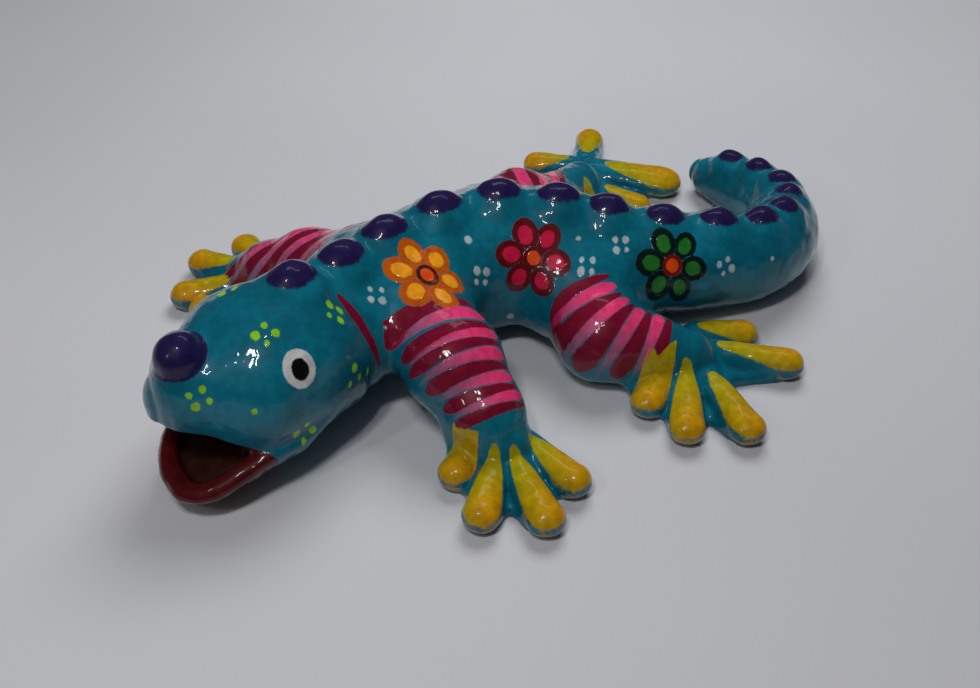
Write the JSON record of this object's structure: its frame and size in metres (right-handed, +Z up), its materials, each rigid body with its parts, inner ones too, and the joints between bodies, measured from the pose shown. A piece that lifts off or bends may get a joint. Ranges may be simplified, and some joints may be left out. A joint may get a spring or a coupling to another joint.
{
  "type": "clay lizard figure",
  "caption": "Free-standing hollow clay lizard with open mouth, splayed four- and five-toed feet, knobbed crest and curled tail, painted and lacquered.",
  "frame": {"origin": "middle of the figure's box, on the surface it stands on", "axes": "+Z up, the lizard faces -Y, its left side is +X, the body runs along Y"},
  "size_m": [0.1694, 0.2387, 0.0536],
  "materials": {
    "teal_paint": "clear gloss lacquer over teal paint on fired clay",
    "purple_paint": "clear gloss lacquer over dark purple paint",
    "yellow_paint": "clear gloss lacquer over brushed yellow paint",
    "striped_paint": "clear gloss lacquer over pink and maroon brush strokes",
    "dark_red_paint": "clear gloss lacquer over dark red paint"
  },
  "bodies": {
    "root": {"back_shell": "teal_paint", "belly_shell": "teal_paint", "head_shell": "teal_paint", "lower_jaw": "teal_paint", "lip_band": "dark_red_paint", "nose_knob": "purple_paint", "crest_knob_1": "purple_paint", "crest_knob_2": "purple_paint", "crest_knob_3": "purple_paint", "crest_knob_4": "purple_paint", "crest_knob_5": "purple_paint", "crest_knob_6": "purple_paint", "crest_knob_7": "purple_paint", "crest_knob_8": "purple_paint", "crest_knob_9": "purple_paint", "crest_knob_10": "purple_paint", "crest_knob_11": "purple_paint", "crest_knob_12": "purple_paint", "crest_knob_13": "purple_paint", "crest_knob_14": "purple_paint", "crest_knob_15": "purple_paint", "tail_root": "teal_paint", "tail_bend": "teal_paint", "tail_tip": "teal_paint", "front_left_leg": "striped_paint", "rear_left_leg": "striped_paint", "front_right_leg": "striped_paint", "rear_right_leg": "striped_paint", "front_left_foot": "teal_paint", "rear_left_foot": "teal_paint", "front_right_foot": "teal_paint", "rear_right_foot": "teal_paint", "front_left_toe_1": "yellow_paint", "front_left_toe_2": "yellow_paint", "front_left_toe_3": "yellow_paint", "front_left_toe_4": "yellow_paint", "rear_left_toe_1": "yellow_paint", "rear_left_toe_2": "yellow_paint", "rear_left_toe_3": "yellow_paint", "rear_left_toe_4": "yellow_paint", "rear_left_toe_5": "yellow_paint", "front_right_toe_1": "yellow_paint", "front_right_toe_2": "yellow_paint", "front_right_toe_3": "yellow_paint", "front_right_toe_4": "yellow_paint", "rear_right_toe_1": "yellow_paint", "rear_right_toe_2": "yellow_paint", "rear_right_toe_3": "yellow_paint", "rear_right_toe_4": "yellow_paint", "rear_right_toe_5": "yellow_paint"}
  },
  "joints": []
}
